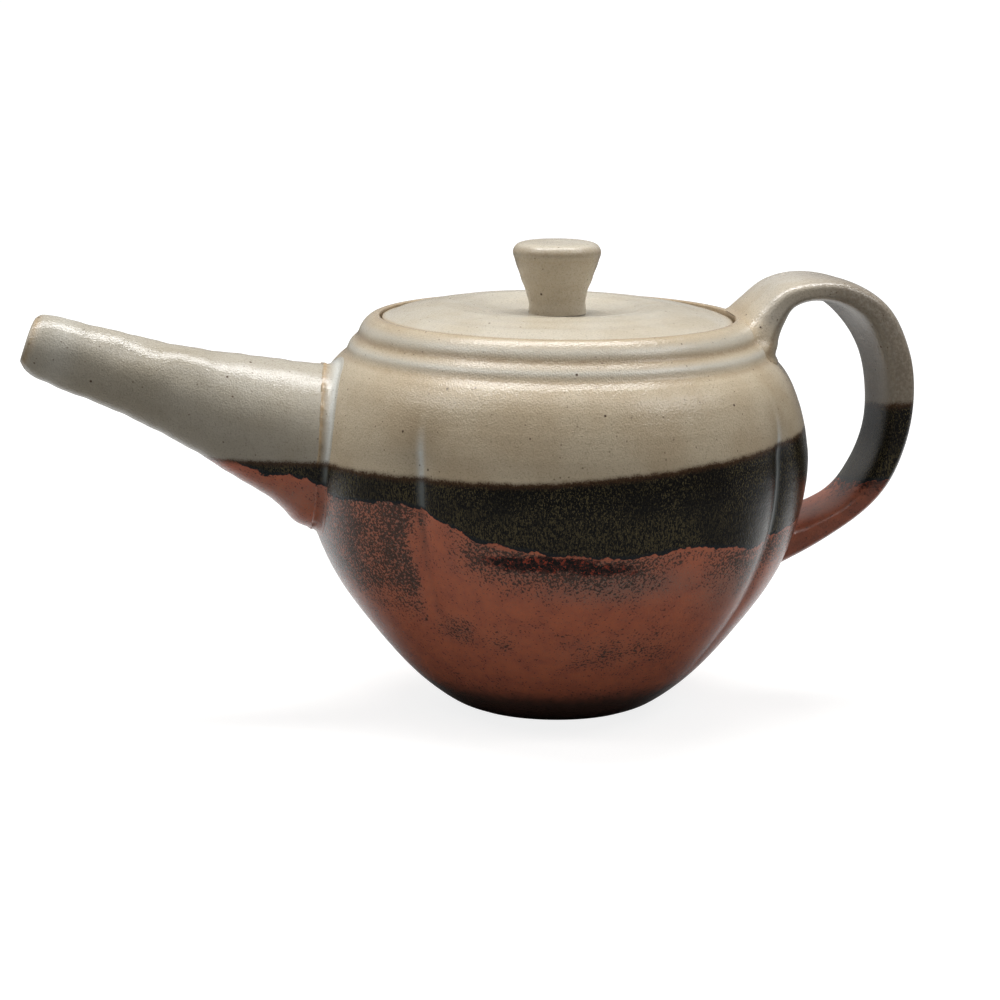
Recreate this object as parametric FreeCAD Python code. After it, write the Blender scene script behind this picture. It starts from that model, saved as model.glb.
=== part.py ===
import FreeCAD, Part
import math
import os

# Hand-thrown teapot with a long spout, a back handle and a drop-in lid. Millimetres, +Z up.
# The origin is on the vessel's axis, in the plane that the foot stands on. The spout points
# along -X and the handle lies along +X.

Vector = FreeCAD.Vector
AXIS_X = Vector(1, 0, 0)
AXIS_Y = Vector(0, 1, 0)
AXIS_Z = Vector(0, 0, 1)
ORIGIN = Vector(0, 0, 0)
TURN = 360.0
QUARTER_TURN = 90.0

# Body: radii and heights of the outside, and its walls
FOOT_R = 21.5
BELLY_R = 65.6
BELLY_Z = 65.0
SHOULDER_R = 55.9
SHOULDER_Z = 91.8
RIM_Z = 102.0
BODY_WALL = 4.2
FLOOR_T = 5.6
FOOT_RECESS_R = 17.5
FOOT_RECESS_DEPTH = 2.6

# The outside from foot to belly: share of the way out, share of the way up, and share of the
# pressed grooves' depth
LOWER_SHARES = [
    (0.000, 0.000, 0.00),
    (0.120, 0.034, 0.00),
    (0.350, 0.150, 0.04),
    (0.610, 0.350, 0.34),
    (0.800, 0.530, 0.70),
    (0.915, 0.700, 0.90),
    (0.980, 0.860, 1.00),
    (1.000, 1.000, 1.00),
]
# The outside from belly to shoulder: share of the way in, share of the way up, and share of
# the grooves' depth
UPPER_SHARES = [
    (0.05, 0.23, 0.85),
    (0.16, 0.45, 0.35),
    (0.40, 0.70, 0.04),
    (0.72, 0.90, 0.00),
    (1.00, 1.00, 0.00),
]
# The thrown lines from shoulder to rim: share of the way in, share of the way up, no groove
RIM_SHARES = [
    (0.25, 0.24, 0.00),
    (0.51, 0.50, 0.00),
    (0.72, 0.74, 0.00),
    (1.00, 1.00, 0.00),
]

# Pressed grooves: two in front and two behind, each pair spread about the lobe between them
GROOVE_DEPTH = 2.4
GROOVE_TURN = 5.6
LOBE_HALF_ANGLE = 47.2
LOBE_NAMES = ("lobe_front", "lobe_handle", "lobe_back", "lobe_spout")
# Angle off the groove's bottom as a share of the half lobe, and share of its depth there
GROOVE_SHARES = [
    (0.07, 0.62),
    (0.17, 0.24),
    (0.30, 0.06),
    (0.55, 0.00),
]

# Gallery, where the lid sits: a ledge round the mouth, inside the rim
GALLERY_R = 45.7
GALLERY_DEPTH = 4.6
LEDGE_W = 6.2
LEDGE_T = 3.6
RIM_T = 1.9
RIM_BEVEL = 0.6
MOUTH_R = GALLERY_R - LEDGE_W
RIM_R = GALLERY_R + RIM_T

# Lid: a disc with a locating flange below, dished round its knob
LID_CLEARANCE = 0.5
LID_EDGE_T = 3.9
LID_CREST_R = 27.0
LID_CREST_T = 7.6
LID_DISH_R = 15.0
LID_DISH_T = 5.2
LID_FLANGE_T = 3.2
LID_FLANGE_DROP = 7.0
LID_HOLLOW_RISE = 1.0
VENT_R = 1.6
VENT_PLACE_R = 20.0
# Between the edge and the crest, and between the crest and the dish: share of the way in and
# share of the way up or down
LID_SLOPE_SHARES = (0.50, 0.66)
LID_DIP_SHARES = (0.50, 0.45)

# Knob: a waisted stem that flares to a flat head
KNOB_BASE_R = 7.3
KNOB_HEAD_R = 11.3
KNOB_H = 18.6
KNOB_EDGE_T = 3.4
KNOB_CROWN = 0.9
# The stem's side: share of the flare and share of the height
KNOB_SIDE_SHARES = [
    (0.00, 0.00),
    (0.07, 0.30),
    (0.62, 0.62),
]
# The head's soft edge, as shares of its thickness: in from the widest point, and up
KNOB_EDGE_SHARES = (0.12, 0.52)

# Spout: a thrown cone, joined on at the belly
SPOUT_ROOT_Z = 71.6
SPOUT_ROOT_R = 19.1
SPOUT_REACH = 69.8
SPOUT_TIP_Z = 96.3
SPOUT_TIP_R = 7.9
SPOUT_BOW = 0.5
SPOUT_WALL = 3.8
SPOUT_LIP_T = 1.9
# Share of the spout's length from its root, and share of the flare that is left there
SPOUT_SHARES = [
    (0.000, 1.000),
    (0.060, 0.905),
    (0.140, 0.780),
    (0.300, 0.535),
    (0.500, 0.292),
    (0.720, 0.135),
    (0.880, 0.072),
    (0.975, 0.009),
    (1.000, -0.080),
]

# The clay pressed into the corner round the spout's root: its thickness on the spout, and how
# much further than that it stands off the body
COLLAR_T = 1.2
COLLAR_RISE = 0.7

# Pierced clay dome inside the body, over the hole that leads to the spout. Its axis lies a
# little below the spout's root, where the wall is upright.
STRAINER_DROP = 3.4
STRAINER_R = 15.2
STRAINER_SKIRT = 3.0
STRAINER_RISE = 7.0
STRAINER_WALL = 2.6
STRAINER_HOLE_R = 1.3
STRAINER_RING_STEP = 4.1
STRAINER_RING_COUNT = 2
STRAINER_FIRST_COUNT = 6

# Handle: a pulled strap from the shoulder to below the belly
HANDLE_FINGER_GAP = 19.6
HANDLE_TOP_Z = 109.2
HANDLE_LOW_Z = 42.6
HANDLE_WIDTH = 28.0
HANDLE_T = 7.3
HANDLE_TWIST = 8.0
# Upper and lower root: shares of the width and of the thickness
HANDLE_ROOT_SHARES = (1.22, 1.74)
HANDLE_FOOT_SHARES = (1.00, 1.20)
# How far down from rim to shoulder the upper root's middle lies
HANDLE_ROOT_DROP_SHARE = 0.72
# Stations between the roots, from the upper one: share of the reach outwards, share of the
# height, shares of the width, of the thickness and of the twist
HANDLE_SHARES = [
    (0.114, 0.888, 1.05, 1.34, 0.0),
    (0.228, 0.965, 0.98, 1.00, 0.0),
    (0.400, 0.997, 0.94, 0.84, 0.0),
    (0.608, 0.977, 0.97, 0.98, 0.4),
    (0.818, 0.886, 1.02, 1.08, 0.8),
    (0.948, 0.740, 1.05, 1.15, 0.4),
    (0.990, 0.580, 1.05, 1.11, 0.1),
    (0.965, 0.412, 1.02, 1.04, 0.0),
    (0.862, 0.255, 0.97, 0.96, 0.0),
    (0.690, 0.137, 0.93, 0.88, 0.0),
]
# A quarter of the strap's rounded outline: share of the half width and of the half thickness
STRAP_CORNER_SHARES = [
    (1.00, 0.00),
    (0.95, 0.62),
    (0.78, 0.92),
    (0.40, 1.00),
    (0.00, 1.00),
]

# One overrun serves every cut
OVERRUN = 2.0


def between(a, b, share):
    return a + (b - a) * share


def body_rings():
    """Radius, height and groove depth of the body's outside, from the foot to the rim."""
    rings = []
    for out, up, press in LOWER_SHARES:
        rings.append((between(FOOT_R, BELLY_R, out), BELLY_Z * up, press * GROOVE_DEPTH))
    for back, up, press in UPPER_SHARES:
        height = between(BELLY_Z, SHOULDER_Z, up)
        rings.append((between(BELLY_R, SHOULDER_R, back), height, press * GROOVE_DEPTH))
    for back, up, press in RIM_SHARES:
        height = between(SHOULDER_Z, RIM_Z, up)
        rings.append((between(SHOULDER_R, RIM_R, back), height, press * GROOVE_DEPTH))
    return rings


def offset_rings(rings, distance):
    """The same rings moved square to the profile by a distance, outwards if it is positive."""
    moved = []
    for i, (radius, height, press) in enumerate(rings):
        before = rings[max(i - 1, 0)]
        after = rings[min(i + 1, len(rings) - 1)]
        run = after[0] - before[0]
        rise = after[1] - before[1]
        length = math.hypot(run, rise)
        moved.append((radius + distance * rise / length, height - distance * run / length, press))
    return moved


def radius_at(rings, height):
    """The profile's radius at a height, read straight between two rings."""
    for low, high in zip(rings, rings[1:]):
        if low[1] <= height <= high[1]:
            return between(low[0], high[0], (height - low[1]) / (high[1] - low[1]))
    return rings[-1][0]


def groove_angles():
    """The four grooves' angles from +X, in degrees."""
    angles = []
    for middle in (GROOVE_TURN - QUARTER_TURN, GROOVE_TURN + QUARTER_TURN):
        angles += [middle - LOBE_HALF_ANGLE, middle + LOBE_HALF_ANGLE]
    return angles


def ring_stations():
    """Angles round the body with the share of the groove's depth at each, in order."""
    stations = []
    angles = groove_angles()
    for angle in angles:
        stations.append((angle, 1.0))
        for off, depth in GROOVE_SHARES:
            stations.append((angle - off * LOBE_HALF_ANGLE, depth))
            stations.append((angle + off * LOBE_HALF_ANGLE, depth))
    for first, second in zip(angles, angles[1:] + [angles[0] + TURN]):
        stations.append(((first + second) / 2, 0.0))
    return sorted(stations)


def closed_spline(points):
    curve = Part.BSplineCurve()
    curve.interpolate(Points=points, PeriodicFlag=True)
    return Part.Wire([curve.toShape()])


def body_ring(radius, height, press):
    """One closed outline of the body, drawn in where the grooves are pressed."""
    points = []
    for angle, depth in ring_stations():
        turn = math.radians(angle)
        r = radius - press * depth
        points.append(Vector(r * math.cos(turn), r * math.sin(turn), height))
    return closed_spline(points)


def lobed_solid(rings):
    return Part.makeLoft([body_ring(*ring) for ring in rings], True, False)


def revolved(points):
    """A solid of revolution about Z from the (radius, height) corners of its half section."""
    corners = [Vector(r, 0, z) for r, z in points]
    face = Part.Face(Part.makePolygon(corners + [corners[0]]))
    return face.revolve(ORIGIN, AXIS_Z, TURN)


def line(start, end):
    return Part.LineSegment(start, end).toShape()


def body_outside():
    return lobed_solid(body_rings())


def body_inside():
    """The hollow of the body, from its floor up under the ledge and on past the mouth's edge."""
    floor_z = FOOT_RECESS_DEPTH + FLOOR_T
    ledge_z = RIM_Z - GALLERY_DEPTH - LEDGE_T
    inset = offset_rings(body_rings(), -BODY_WALL)
    rings = [(radius_at(inset, floor_z), floor_z, 0.0)]
    rings += [ring for ring in inset if floor_z + BODY_WALL / 2 < ring[1] < ledge_z - LEDGE_T]
    last_radius, last_height = rings[-1][:2]
    beyond = 1 + OVERRUN / (last_radius - MOUTH_R)
    rings.append((between(last_radius, MOUTH_R, beyond), between(last_height, ledge_z, beyond), 0.0))
    return lobed_solid(rings)


def foot_recess():
    """The turned hollow under the foot, its wall sloping at 45 degrees."""
    return revolved([
        (0, -OVERRUN),
        (FOOT_RECESS_R, -OVERRUN),
        (FOOT_RECESS_R, 0),
        (FOOT_RECESS_R - FOOT_RECESS_DEPTH, FOOT_RECESS_DEPTH),
        (0, FOOT_RECESS_DEPTH),
    ])


def gallery():
    """The step inside the rim, down to the ledge, with the rim's inner edge bevelled."""
    seat_z = RIM_Z - GALLERY_DEPTH
    return revolved([
        (0, seat_z),
        (GALLERY_R, seat_z),
        (GALLERY_R, RIM_Z - RIM_BEVEL),
        (GALLERY_R + RIM_BEVEL, RIM_Z),
        (GALLERY_R + RIM_BEVEL, RIM_Z + OVERRUN),
        (0, RIM_Z + OVERRUN),
    ])


def strainer_z():
    """Height of the strainer's axis, and of the hole that it covers."""
    return SPOUT_ROOT_Z - STRAINER_DROP


def wall_hole():
    """The round hole through the wall that the spout covers."""
    start = Vector(-BELLY_R - OVERRUN, 0, strainer_z())
    return Part.makeCylinder(STRAINER_R - STRAINER_WALL, STRAINER_R + OVERRUN, start, AXIS_X)


def whole_body():
    mouth = Part.makeCylinder(MOUTH_R, RIM_Z - BELLY_Z, Vector(0, 0, BELLY_Z))
    body = body_outside()
    for hollow in (body_inside(), mouth, gallery(), foot_recess(), wall_hole()):
        body = body.cut(hollow)
    return body


def sector(low_z, high_z, start, end):
    """A wedge from the pot's axis, wider than the belly, between two heights and two angles."""
    reach = 2 * BELLY_R
    corners = [Vector(0, 0, low_z)]
    for angle in (start, (start + end) / 2, end):
        turn = math.radians(angle)
        corners.append(Vector(reach * math.cos(turn), reach * math.sin(turn), low_z))
    face = Part.Face(Part.makePolygon(corners + [corners[0]]))
    return face.extrude(AXIS_Z * (high_z - low_z))


def layer(low_z, high_z):
    height = high_z - low_z
    return Part.makeCylinder(2 * BELLY_R, height, Vector(0, 0, low_z))


def body_pieces():
    """The body parted at its floor, at its shoulder line and down its four grooves."""
    body = whole_body()
    floor_z = FOOT_RECESS_DEPTH + FLOOR_T
    pieces = {
        "base": body.common(layer(-OVERRUN, floor_z)),
        "rim": body.common(layer(SHOULDER_Z, RIM_Z + OVERRUN)),
    }
    angles = groove_angles()
    for name, start, end in zip(LOBE_NAMES, angles, angles[1:] + [angles[0] + TURN]):
        pieces[name] = body.common(sector(floor_z, SHOULDER_Z, start, end))
    return pieces


def cap_middle(radius, rise):
    """Half way round a ball's cap: distance from its axis, and distance below its top."""
    ball_r = (radius * radius + rise * rise) / (2 * rise)
    half_turn = math.asin(radius / ball_r) / 2
    return ball_r * math.sin(half_turn), ball_r * (1 - math.cos(half_turn))


def dome(wall_x, radius, rise):
    """A round cap about the hole's axis, with a straight skirt that runs back into the wall."""
    base_x = wall_x + STRAINER_SKIRT
    out, down = cap_middle(radius, rise)
    top = Vector(base_x + rise, 0, 0)
    rim = Vector(base_x, radius, 0)
    middle = Vector(top.x - down, out, 0)
    back = Vector(wall_x - BODY_WALL, 0, 0)
    corner = Vector(back.x, radius, 0)
    edges = [Part.Arc(rim, middle, top).toShape(), line(top, back), line(back, corner), line(corner, rim)]
    solid = Part.Face(Part.Wire(edges)).revolve(ORIGIN, AXIS_X, TURN)
    solid.translate(AXIS_Z * strainer_z())
    return solid


def strainer_holes(wall_x):
    """Rings of small holes along X about one in the middle, each ring with more than the last."""
    places = [(0.0, 0.0)]
    for ring in range(1, STRAINER_RING_COUNT + 1):
        count = STRAINER_FIRST_COUNT * ring
        step = STRAINER_RING_STEP * ring
        for k in range(count):
            turn = math.radians(TURN * k / count)
            places.append((step * math.cos(turn), step * math.sin(turn)))
    depth = STRAINER_SKIRT + STRAINER_RISE + OVERRUN
    holes = []
    for y, z in places:
        start = Vector(wall_x, y, strainer_z() + z)
        holes.append(Part.makeCylinder(STRAINER_HOLE_R, depth, start, AXIS_X))
    return holes


def make_strainer():
    """A pierced dome that bulges into the pot, its skirt trimmed to the wall."""
    wall_x = BODY_WALL - radius_at(body_rings(), strainer_z())
    outer = dome(wall_x, STRAINER_R, STRAINER_RISE)
    inner = dome(wall_x, STRAINER_R - STRAINER_WALL, STRAINER_RISE - STRAINER_WALL)
    shell = outer.cut(inner).common(body_inside())
    for hole in strainer_holes(wall_x):
        shell = shell.cut(hole)
    return shell


def spout_centre(share):
    """A point of the spout's axis, which bows upwards a little between its ends."""
    root = Vector(-radius_at(body_rings(), SPOUT_ROOT_Z), 0, SPOUT_ROOT_Z)
    tip = Vector(-BELLY_R - SPOUT_REACH, 0, SPOUT_TIP_Z)
    bow = SPOUT_BOW * 4 * share * (1 - share)
    return root + (tip - root) * share + AXIS_Z * bow


def spout_cone(root_growth, tip_growth, root_run, tip_run):
    """The spout's form with its radii grown, and its ends run on by two lengths."""
    heading = spout_centre(1) - spout_centre(0)
    heading.normalize()
    sections = []
    for share, flare in SPOUT_SHARES:
        growth = between(root_growth, tip_growth, share)
        radius = between(SPOUT_TIP_R, SPOUT_ROOT_R, flare) + growth
        sections.append((spout_centre(share), radius))
    first_centre, first_radius = sections[0]
    second_centre, second_radius = sections[1]
    flare = (first_radius - second_radius) / first_centre.distanceToPoint(second_centre)
    sections.insert(0, (first_centre - heading * root_run, first_radius + flare * root_run))
    if tip_run:
        last_centre, last_radius = sections[-1]
        sections.append((last_centre + heading * tip_run, last_radius))
    wires = [Part.Wire([Part.Circle(c, heading, r).toShape()]) for c, r in sections]
    return Part.makeLoft(wires, True, False)


def make_spout():
    """A tapering tube that runs into the body by its own radius and is trimmed to its outside."""
    outside = spout_cone(0, 0, SPOUT_ROOT_R, 0)
    bore = spout_cone(-SPOUT_WALL, -SPOUT_LIP_T, SPOUT_ROOT_R + OVERRUN, OVERRUN)
    return outside.cut(bore).cut(body_outside())


def make_spout_collar():
    """The band of clay that covers the seam between the spout and the body."""
    band = spout_cone(COLLAR_T, 0, SPOUT_ROOT_R, 0)
    near_body = lobed_solid(offset_rings(body_rings(), COLLAR_T + COLLAR_RISE)[1:-1])
    core = spout_cone(0, 0, SPOUT_ROOT_R + OVERRUN, 0)
    return band.common(near_body).cut(core).cut(body_outside())


def strap_outline():
    """The strap's outline as shares of its half width and half thickness, in order."""
    upper = STRAP_CORNER_SHARES + [(-side, out) for side, out in reversed(STRAP_CORNER_SHARES[:-1])]
    return upper + [(side, -out) for side, out in reversed(upper[1:-1])]


def strap_section(centre, heading, width, thickness, twist):
    """A rounded strap outline square to its heading, at one station of the arch."""
    turn = FreeCAD.Rotation(heading, -twist)
    across = turn.multVec(AXIS_Y) * (width / 2)
    outward = turn.multVec(heading.cross(AXIS_Y)) * (thickness / 2)
    return closed_spline([centre + across * side + outward * out for side, out in strap_outline()])


def handle_stations():
    """Centre and the shares of width, thickness and twist at each station, root to root."""
    reach_x = BELLY_R + HANDLE_FINGER_GAP + HANDLE_T / 2
    root_z = between(RIM_Z, SHOULDER_Z, HANDLE_ROOT_DROP_SHARE)
    foot_x = radius_at(body_rings(), HANDLE_LOW_Z) - BODY_WALL / 2
    stations = [(Vector(RIM_R, 0, root_z), *HANDLE_ROOT_SHARES, 0)]
    for out, up, wide, thick, twist in HANDLE_SHARES:
        centre = Vector(between(RIM_R, reach_x, out), 0, between(HANDLE_LOW_Z, HANDLE_TOP_Z, up))
        stations.append((centre, wide, thick, twist))
    stations.append((Vector(foot_x, 0, HANDLE_LOW_Z), *HANDLE_FOOT_SHARES, 0))
    return stations


def make_handle():
    """A strap lofted along its arch, its ends trimmed to the body."""
    stations = handle_stations()
    sections = []
    for i, (centre, wide, thick, twist) in enumerate(stations):
        before = stations[max(i - 1, 0)][0]
        after = stations[min(i + 1, len(stations) - 1)][0]
        heading = after - before
        heading.normalize()
        size = (wide * HANDLE_WIDTH, thick * HANDLE_T, twist * HANDLE_TWIST)
        sections.append(strap_section(centre, heading, *size))
    return Part.makeLoft(sections, True, False).cut(body_outside())


def point_between(start, end, shares):
    """A point in the XZ plane at its own shares of the way across and of the way up or down."""
    across, along = shares
    return Vector(between(start.x, end.x, across), 0, between(start.z, end.z, along))


def make_lid():
    """A disc on the ledge with a flange into the mouth, a crest and a dish round the knob."""
    seat_z = RIM_Z - GALLERY_DEPTH
    edge_r = GALLERY_R - LID_CLEARANCE
    flange_r = MOUTH_R - LID_CLEARANCE
    hollow_r = flange_r - LID_FLANGE_T
    edge_top = Vector(edge_r, 0, seat_z + LID_EDGE_T)
    crest = Vector(LID_CREST_R, 0, seat_z + LID_CREST_T)
    dish = Vector(LID_DISH_R, 0, seat_z + LID_DISH_T)
    slope = point_between(edge_top, crest, LID_SLOPE_SHARES)
    dip = point_between(crest, dish, LID_DIP_SHARES)
    top = Part.BSplineCurve()
    top.interpolate([edge_top, slope, crest, dip, dish])
    corners = [
        dish,
        Vector(0, 0, dish.z),
        Vector(0, 0, seat_z + LID_HOLLOW_RISE),
        Vector(hollow_r, 0, seat_z + LID_HOLLOW_RISE),
        Vector(hollow_r, 0, seat_z - LID_FLANGE_DROP),
        Vector(flange_r, 0, seat_z - LID_FLANGE_DROP),
        Vector(flange_r, 0, seat_z),
        Vector(edge_r, 0, seat_z),
        edge_top,
    ]
    edges = [line(start, end) for start, end in zip(corners, corners[1:])] + [top.toShape()]
    disc = Part.Face(Part.Wire(edges)).revolve(ORIGIN, AXIS_Z, TURN)
    vent = Part.makeCylinder(VENT_R, LID_CREST_T + OVERRUN, Vector(0, VENT_PLACE_R, seat_z))
    return disc.cut(vent)


def make_knob():
    """The knob's half section turned about Z, standing on the floor of the lid's dish."""
    base = Vector(0, 0, RIM_Z - GALLERY_DEPTH + LID_DISH_T)
    top = base + AXIS_Z * KNOB_H
    edge = Vector(KNOB_HEAD_R, 0, top.z - KNOB_EDGE_T)
    side_points = []
    for flare, up in KNOB_SIDE_SHARES:
        side_points.append(base + Vector(between(KNOB_BASE_R, KNOB_HEAD_R, flare), 0, KNOB_H * up))
    side = Part.BSplineCurve()
    side.interpolate(side_points + [edge])
    inward, upward = KNOB_EDGE_SHARES
    soft = edge + Vector(-KNOB_EDGE_T * inward, 0, KNOB_EDGE_T * upward)
    brow = Vector(KNOB_HEAD_R - KNOB_EDGE_T / 2, 0, top.z - KNOB_CROWN)
    out, down = cap_middle(brow.x, KNOB_CROWN)
    crown = Vector(out, 0, top.z - down)
    edges = [
        side.toShape(),
        Part.Arc(edge, soft, brow).toShape(),
        Part.Arc(brow, crown, top).toShape(),
        line(top, base),
        line(base, side_points[0]),
    ]
    return Part.Face(Part.Wire(edges)).revolve(ORIGIN, AXIS_Z, TURN)


def main():
    os.makedirs("parts", exist_ok=True)
    makers = {
        "spout": make_spout,
        "spout_collar": make_spout_collar,
        "strainer": make_strainer,
        "handle": make_handle,
        "lid": make_lid,
        "knob": make_knob,
    }
    shapes = body_pieces()
    for name, maker in makers.items():
        shapes[name] = maker()
    for name, shape in shapes.items():
        shape = shape.removeSplitter()
        print(name, "solids", len(shape.Solids), "valid", shape.isValid(), "mm3", round(shape.Volume, 1))
        shape.exportStep("parts/" + name + ".step")


main()
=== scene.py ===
import math

import bpy
import numpy as np
from mathutils import Matrix, Vector


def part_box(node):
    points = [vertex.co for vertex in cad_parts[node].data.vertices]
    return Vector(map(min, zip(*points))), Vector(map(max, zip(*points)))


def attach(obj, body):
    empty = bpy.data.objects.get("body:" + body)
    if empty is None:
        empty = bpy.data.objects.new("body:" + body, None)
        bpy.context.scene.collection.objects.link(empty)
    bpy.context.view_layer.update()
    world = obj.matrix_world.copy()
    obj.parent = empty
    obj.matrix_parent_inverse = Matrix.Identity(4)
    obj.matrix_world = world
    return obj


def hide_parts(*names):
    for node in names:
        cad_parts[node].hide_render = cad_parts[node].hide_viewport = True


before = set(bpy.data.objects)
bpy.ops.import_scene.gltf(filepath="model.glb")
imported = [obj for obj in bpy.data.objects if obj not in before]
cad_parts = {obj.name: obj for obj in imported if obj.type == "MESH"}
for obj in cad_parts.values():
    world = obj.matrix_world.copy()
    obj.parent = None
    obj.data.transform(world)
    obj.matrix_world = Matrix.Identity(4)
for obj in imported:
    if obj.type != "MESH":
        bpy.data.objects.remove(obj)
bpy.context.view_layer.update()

# Hand-thrown teapot, in metres, in the part's own frame: spout along -X, handle along +X.
# Plain numbers in the shape lists are millimetres; MM turns them into metres.
MM = 0.001
DEG = math.pi / 180

# Body
FOOT_R = 21.5
BELLY_R = 65.6
BELLY_Z = 65.0
BODY_NODES = ("base", "lobe_front", "lobe_handle", "lobe_back", "lobe_spout", "rim")
RIM_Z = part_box("rim")[1].z / MM
WALL = 4.2
FLOOR_Z = 8.2
RECESS_R = 17.5
RECESS_Z = 2.6
MOUTH_R = 39.5
GALLERY_R = 45.7
SEAT_Z = RIM_Z - 4.6
LEDGE_Z = SEAT_Z - 3.6
# The hole in the wall behind the spout
HOLE_R = 12.6
HOLE_Z = 68.2
# One degree round the wall, as a length along it
WALL_DEGREE = 60.0 * DEG

# Outside of the body from foot to rim: radius, height, share of the pressed grooves' depth
OUTSIDE = [
    (FOOT_R, 0.0, 0.0), (26.8, 2.2, 0.0), (36.9, 9.8, 0.04), (48.4, 22.8, 0.34),
    (56.8, 34.5, 0.70), (61.9, 45.5, 0.90), (64.7, 55.9, 1.0), (BELLY_R, BELLY_Z, 1.0),
    (65.1, 71.2, 0.85), (64.0, 77.1, 0.35), (61.7, 83.8, 0.04), (59.3, 88.2, 0.0),
    (57.2, 90.6, 0.0), (55.8, 91.8, 0.0), (54.9, 92.6, 0.0), (54.45, 93.4, 0.0),
    (54.0, 94.4, 0.0), (53.35, 95.3, 0.0), (52.5, 96.1, 0.0), (51.75, 96.8, 0.0),
    (51.35, 97.5, 0.0), (51.0, 98.4, 0.0), (50.4, 99.5, 0.0), (49.5, 100.6, 0.0),
    (48.2, 101.6, 0.0), (47.2, 102.0, 0.0),
]
GROOVE_DEPTH = 2.9
GROOVE_ANGLES = (-131.6, -37.2, 48.4, 142.8)
HALF_LOBE = 47.2
GROOVE_SPREAD = 0.118
CREASE_ROUND = 0.012

# Spout: centres, radii along it, walls
SPOUT_ROOT_Z = 71.6
SPOUT_TIP = (-135.4, 96.3)
SPOUT_LENGTH = 74.0
SPOUT_ROOT_R = 19.1
SPOUT_TIP_R = 7.9
FLARE_R = SPOUT_ROOT_R - SPOUT_TIP_R
SPOUT_BOW = 0.5
SPOUT_WALL = 3.8
SPOUT_LIP = 1.9
# The bore against the outside: growth at the root and at the tip, and no dents
BORE = (-SPOUT_WALL, -SPOUT_LIP, False)
# Places along the spout: where it is looked for in the body, and where lip and bore start
SPOUT_SEARCH = (0.4, -0.26)
SPOUT_INSET = 1.2
LIP_START = 0.985
BORE_START = 0.97
# The rounded lip, from outside to bore: place along the spout and growth
LIP_ROWS = [
    (0.992, -0.10), (0.998, -0.30), (1.002, -0.62), (1.003, -0.95),
    (1.002, -1.28), (0.997, -1.6), (0.990, -1.8), (0.975, -1.9),
]
LIP_TURN = 0.011
# Place along the spout and share of its flare
SPOUT_FLARE = [
    (0.000, 1.000), (0.060, 0.905), (0.140, 0.780), (0.300, 0.535), (0.500, 0.292),
    (0.720, 0.135), (0.880, 0.072), (0.975, 0.009), (1.000, -0.080),
]
# Finger dents in the spout: place along it, turn from its top towards the front, reach, depth
SPOUT_DENTS = [
    (-0.07, 180, 0.06, 60, -1.7), (0.55, 0, 0.25, 50, -0.35),
    (1.0, 180, 0.04, 55, 0.7), (0.97, 180, 0.17, 65, 0.75), (0.10, 180, 0.06, 50, 0.4),
    (0.13, 44, 0.06, 20, 0.50), (0.60, 24, 0.07, 26, 0.45), (0.47, 62, 0.05, 20, 0.40),
    (0.80, 34, 0.06, 30, 0.38), (0.94, 70, 0.04, 26, 0.40), (0.36, 14, 0.05, 24, 0.40),
    (0.70, 52, 0.04, 22, 0.30), (0.53, 30, 0.03, 18, -0.25), (0.42, 44, 0.035, 18, -0.25),
]

# Handle: centre, width, thickness and twist at each station, from the upper root
HANDLE_TOP_Z = 109.2
HANDLE_LOW_Z = 42.6
HANDLE_ROOT = (48.8, 94.4)
HANDLE_REACH = 88.85
HANDLE_WIDTH = 28.0
HANDLE_T = 7.3
HANDLE_TWIST = 8.0
HANDLE_ROOT_SHARES = (1.22, 1.78)
HANDLE_FOOT_SHARES = (1.00, 1.20)
HANDLE_SHARES = [
    (0.114, 0.888, 1.05, 1.34, 0.0), (0.228, 0.965, 0.98, 1.00, 0.0),
    (0.400, 0.997, 0.94, 0.84, 0.0), (0.608, 0.977, 0.97, 0.98, 0.4),
    (0.818, 0.886, 1.02, 1.08, 0.8), (0.948, 0.740, 1.05, 1.15, 0.4),
    (0.990, 0.580, 1.05, 1.11, 0.1), (0.965, 0.412, 1.02, 1.04, 0.0),
    (0.862, 0.255, 0.97, 0.96, 0.0), (0.690, 0.137, 0.93, 0.88, 0.0),
]
STRAP_POWER = 3.3

# Lid and knob
LID_EDGE_R = 45.2
LID_EDGE_T = 3.9
FLANGE_R = 39.0
FLANGE_T = 3.2
FLANGE_Z = SEAT_Z - 7.0
VENT_R = 1.6
VENT_Y = 20.0
LID_MIDDLE_Z = 102.6
LID_TOP = [
    (44.4, 101.6), (40.5, 102.9), (36.1, 103.8), (31.5, 104.6), (27.0, 104.95),
    (22.6, 104.5), (18.4, 103.4), (14.6, 102.65), (10.0, LID_MIDDLE_Z),
]
KNOB_Z = SEAT_Z + 5.2
KNOB_SIDE = [
    (7.45, 0.0), (7.4, 0.8), (7.35, 2.0), (7.45, 3.6), (7.8, 5.2),
    (8.4, 7.0), (9.15, 9.0), (9.95, 11.4), (10.8, 13.7), (11.25, 15.4),
    (11.15, 16.6), (10.5, 17.6), (9.2, 18.15), (6.0, 18.45), (0.0, 18.6),
]
KNOB_LEAN = -0.35

# Fineness of the meshes: points in a ring, and steps along the form
BODY_RING, BODY_STEPS = 560, 230
SPOUT_RING, SPOUT_ROWS, BORE_ROWS = 180, 120, 60
COLLAR_RING, COLLAR_STEPS = 220, 15
STRAP_RING, STRAP_ROWS = 120, 250
LID_RING, LID_STEPS = 420, 70
KNOB_RING, KNOB_STEPS = 200, 90
HOLE_RING = 48
# Radius of the last ring of a form that closes on the axis
AXIS_R = 0.02
SHARP_ANGLE = 50 * DEG


# Curves and fields

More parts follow.
